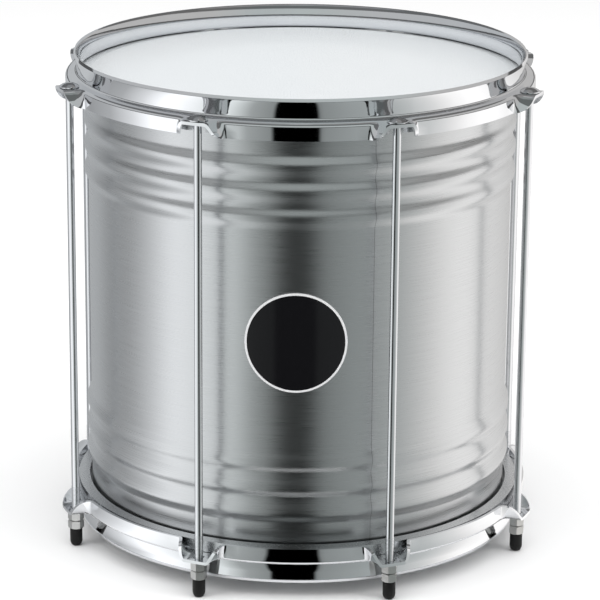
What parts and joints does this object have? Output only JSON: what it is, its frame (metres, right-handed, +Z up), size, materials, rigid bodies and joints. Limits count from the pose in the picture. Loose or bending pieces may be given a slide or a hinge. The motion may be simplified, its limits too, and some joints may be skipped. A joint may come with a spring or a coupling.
{
  "type": "repinique",
  "caption": "Two-headed metal drum with beaded shell, pressed chrome hoops, tension rods, nuts and rubber rod caps.",
  "frame": {"origin": "on the drum's axis, in the plane that the rubber caps rest on", "axes": "+Z up along the drum's axis, towards the playing head; the badge faces -Y"},
  "size_m": [0.3396, 0.3396, 0.356],
  "materials": {
    "shell_aluminium": "brushed",
    "hoop_chrome": "polished",
    "rod_chrome": "polished",
    "nut_zinc": "zinc plated",
    "head_film": "smooth satin",
    "flesh_channel": "bright",
    "cap_rubber": "satin",
    "badge_plate": "gloss"
  },
  "bodies": {
    "drum": {"shell": "shell_aluminium", "badge": "badge_plate", "bottom_hoop": "hoop_chrome", "top_head_film": "head_film", "top_flesh_hoop": "flesh_channel", "bottom_head_film": "head_film", "bottom_flesh_hoop": "flesh_channel", "rubber_cap_1": "cap_rubber", "rubber_cap_2": "cap_rubber", "rubber_cap_3": "cap_rubber", "rubber_cap_4": "cap_rubber", "rubber_cap_5": "cap_rubber", "rubber_cap_6": "cap_rubber", "rubber_cap_7": "cap_rubber", "rubber_cap_8": "cap_rubber"},
    "top_hoop_and_rods": {"top_hoop": "hoop_chrome", "tension_rod_1": "rod_chrome", "tension_rod_2": "rod_chrome", "tension_rod_3": "rod_chrome", "tension_rod_4": "rod_chrome", "tension_rod_5": "rod_chrome", "tension_rod_6": "rod_chrome", "tension_rod_7": "rod_chrome", "tension_rod_8": "rod_chrome"},
    "tuning_nut_1_turning": {"tuning_nut_1": "nut_zinc"},
    "lock_nut_1_turning": {"lock_nut_1": "nut_zinc"},
    "tuning_nut_2_turning": {"tuning_nut_2": "nut_zinc"},
    "lock_nut_2_turning": {"lock_nut_2": "nut_zinc"},
    "tuning_nut_3_turning": {"tuning_nut_3": "nut_zinc"},
    "lock_nut_3_turning": {"lock_nut_3": "nut_zinc"},
    "tuning_nut_4_turning": {"tuning_nut_4": "nut_zinc"},
    "lock_nut_4_turning": {"lock_nut_4": "nut_zinc"},
    "tuning_nut_5_turning": {"tuning_nut_5": "nut_zinc"},
    "lock_nut_5_turning": {"lock_nut_5": "nut_zinc"},
    "tuning_nut_6_turning": {"tuning_nut_6": "nut_zinc"},
    "lock_nut_6_turning": {"lock_nut_6": "nut_zinc"},
    "tuning_nut_7_turning": {"tuning_nut_7": "nut_zinc"},
    "lock_nut_7_turning": {"lock_nut_7": "nut_zinc"},
    "tuning_nut_8_turning": {"tuning_nut_8": "nut_zinc"},
    "lock_nut_8_turning": {"lock_nut_8": "nut_zinc"}
  },
  "joints": [
    {"name": "top_hoop_lift", "type": "slide", "parent": "drum", "child": "top_hoop_and_rods", "axis": [0, 0, 1], "range_m": [0, 0.006]},
    {"name": "tuning_nut_1_turn", "type": "hinge", "parent": "drum", "child": "tuning_nut_1_turning", "pos_m": [0.0662, -0.15983, 0], "axis": [0, 0, 1], "range_deg": [-2160, 0]},
    {"name": "lock_nut_1_turn", "type": "hinge", "parent": "drum", "child": "lock_nut_1_turning", "pos_m": [0.0662, -0.15983, 0], "axis": [0, 0, 1], "range_deg": [-2160, 0]},
    {"name": "tuning_nut_2_turn", "type": "hinge", "parent": "drum", "child": "tuning_nut_2_turning", "pos_m": [0.15983, -0.0662, 0], "axis": [0, 0, 1], "range_deg": [-2160, 0]},
    {"name": "lock_nut_2_turn", "type": "hinge", "parent": "drum", "child": "lock_nut_2_turning", "pos_m": [0.15983, -0.0662, 0], "axis": [0, 0, 1], "range_deg": [-2160, 0]},
    {"name": "tuning_nut_3_turn", "type": "hinge", "parent": "drum", "child": "tuning_nut_3_turning", "pos_m": [0.15983, 0.0662, 0], "axis": [0, 0, 1], "range_deg": [-2160, 0]},
    {"name": "lock_nut_3_turn", "type": "hinge", "parent": "drum", "child": "lock_nut_3_turning", "pos_m": [0.15983, 0.0662, 0], "axis": [0, 0, 1], "range_deg": [-2160, 0]},
    {"name": "tuning_nut_4_turn", "type": "hinge", "parent": "drum", "child": "tuning_nut_4_turning", "pos_m": [0.0662, 0.15983, 0], "axis": [0, 0, 1], "range_deg": [-2160, 0]},
    {"name": "lock_nut_4_turn", "type": "hinge", "parent": "drum", "child": "lock_nut_4_turning", "pos_m": [0.0662, 0.15983, 0], "axis": [0, 0, 1], "range_deg": [-2160, 0]},
    {"name": "tuning_nut_5_turn", "type": "hinge", "parent": "drum", "child": "tuning_nut_5_turning", "pos_m": [-0.0662, 0.15983, 0], "axis": [0, 0, 1], "range_deg": [-2160, 0]},
    {"name": "lock_nut_5_turn", "type": "hinge", "parent": "drum", "child": "lock_nut_5_turning", "pos_m": [-0.0662, 0.15983, 0], "axis": [0, 0, 1], "range_deg": [-2160, 0]},
    {"name": "tuning_nut_6_turn", "type": "hinge", "parent": "drum", "child": "tuning_nut_6_turning", "pos_m": [-0.15983, 0.0662, 0], "axis": [0, 0, 1], "range_deg": [-2160, 0]},
    {"name": "lock_nut_6_turn", "type": "hinge", "parent": "drum", "child": "lock_nut_6_turning", "pos_m": [-0.15983, 0.0662, 0], "axis": [0, 0, 1], "range_deg": [-2160, 0]},
    {"name": "tuning_nut_7_turn", "type": "hinge", "parent": "drum", "child": "tuning_nut_7_turning", "pos_m": [-0.15983, -0.0662, 0], "axis": [0, 0, 1], "range_deg": [-2160, 0]},
    {"name": "lock_nut_7_turn", "type": "hinge", "parent": "drum", "child": "lock_nut_7_turning", "pos_m": [-0.15983, -0.0662, 0], "axis": [0, 0, 1], "range_deg": [-2160, 0]},
    {"name": "tuning_nut_8_turn", "type": "hinge", "parent": "drum", "child": "tuning_nut_8_turning", "pos_m": [-0.0662, -0.15983, 0], "axis": [0, 0, 1], "range_deg": [-2160, 0]},
    {"name": "lock_nut_8_turn", "type": "hinge", "parent": "drum", "child": "lock_nut_8_turning", "pos_m": [-0.0662, -0.15983, 0], "axis": [0, 0, 1], "range_deg": [-2160, 0]}
  ],
  "couplings": [
    {"joint": "tuning_nut_1_turn", "follows": "top_hoop_lift", "rad_per_m": -6283.2},
    {"joint": "lock_nut_1_turn", "follows": "top_hoop_lift", "rad_per_m": -6283.2},
    {"joint": "tuning_nut_2_turn", "follows": "top_hoop_lift", "rad_per_m": -6283.2},
    {"joint": "lock_nut_2_turn", "follows": "top_hoop_lift", "rad_per_m": -6283.2},
    {"joint": "tuning_nut_3_turn", "follows": "top_hoop_lift", "rad_per_m": -6283.2},
    {"joint": "lock_nut_3_turn", "follows": "top_hoop_lift", "rad_per_m": -6283.2},
    {"joint": "tuning_nut_4_turn", "follows": "top_hoop_lift", "rad_per_m": -6283.2},
    {"joint": "lock_nut_4_turn", "follows": "top_hoop_lift", "rad_per_m": -6283.2},
    {"joint": "tuning_nut_5_turn", "follows": "top_hoop_lift", "rad_per_m": -6283.2},
    {"joint": "lock_nut_5_turn", "follows": "top_hoop_lift", "rad_per_m": -6283.2},
    {"joint": "tuning_nut_6_turn", "follows": "top_hoop_lift", "rad_per_m": -6283.2},
    {"joint": "lock_nut_6_turn", "follows": "top_hoop_lift", "rad_per_m": -6283.2},
    {"joint": "tuning_nut_7_turn", "follows": "top_hoop_lift", "rad_per_m": -6283.2},
    {"joint": "lock_nut_7_turn", "follows": "top_hoop_lift", "rad_per_m": -6283.2},
    {"joint": "tuning_nut_8_turn", "follows": "top_hoop_lift", "rad_per_m": -6283.2},
    {"joint": "lock_nut_8_turn", "follows": "top_hoop_lift", "rad_per_m": -6283.2}
  ]
}
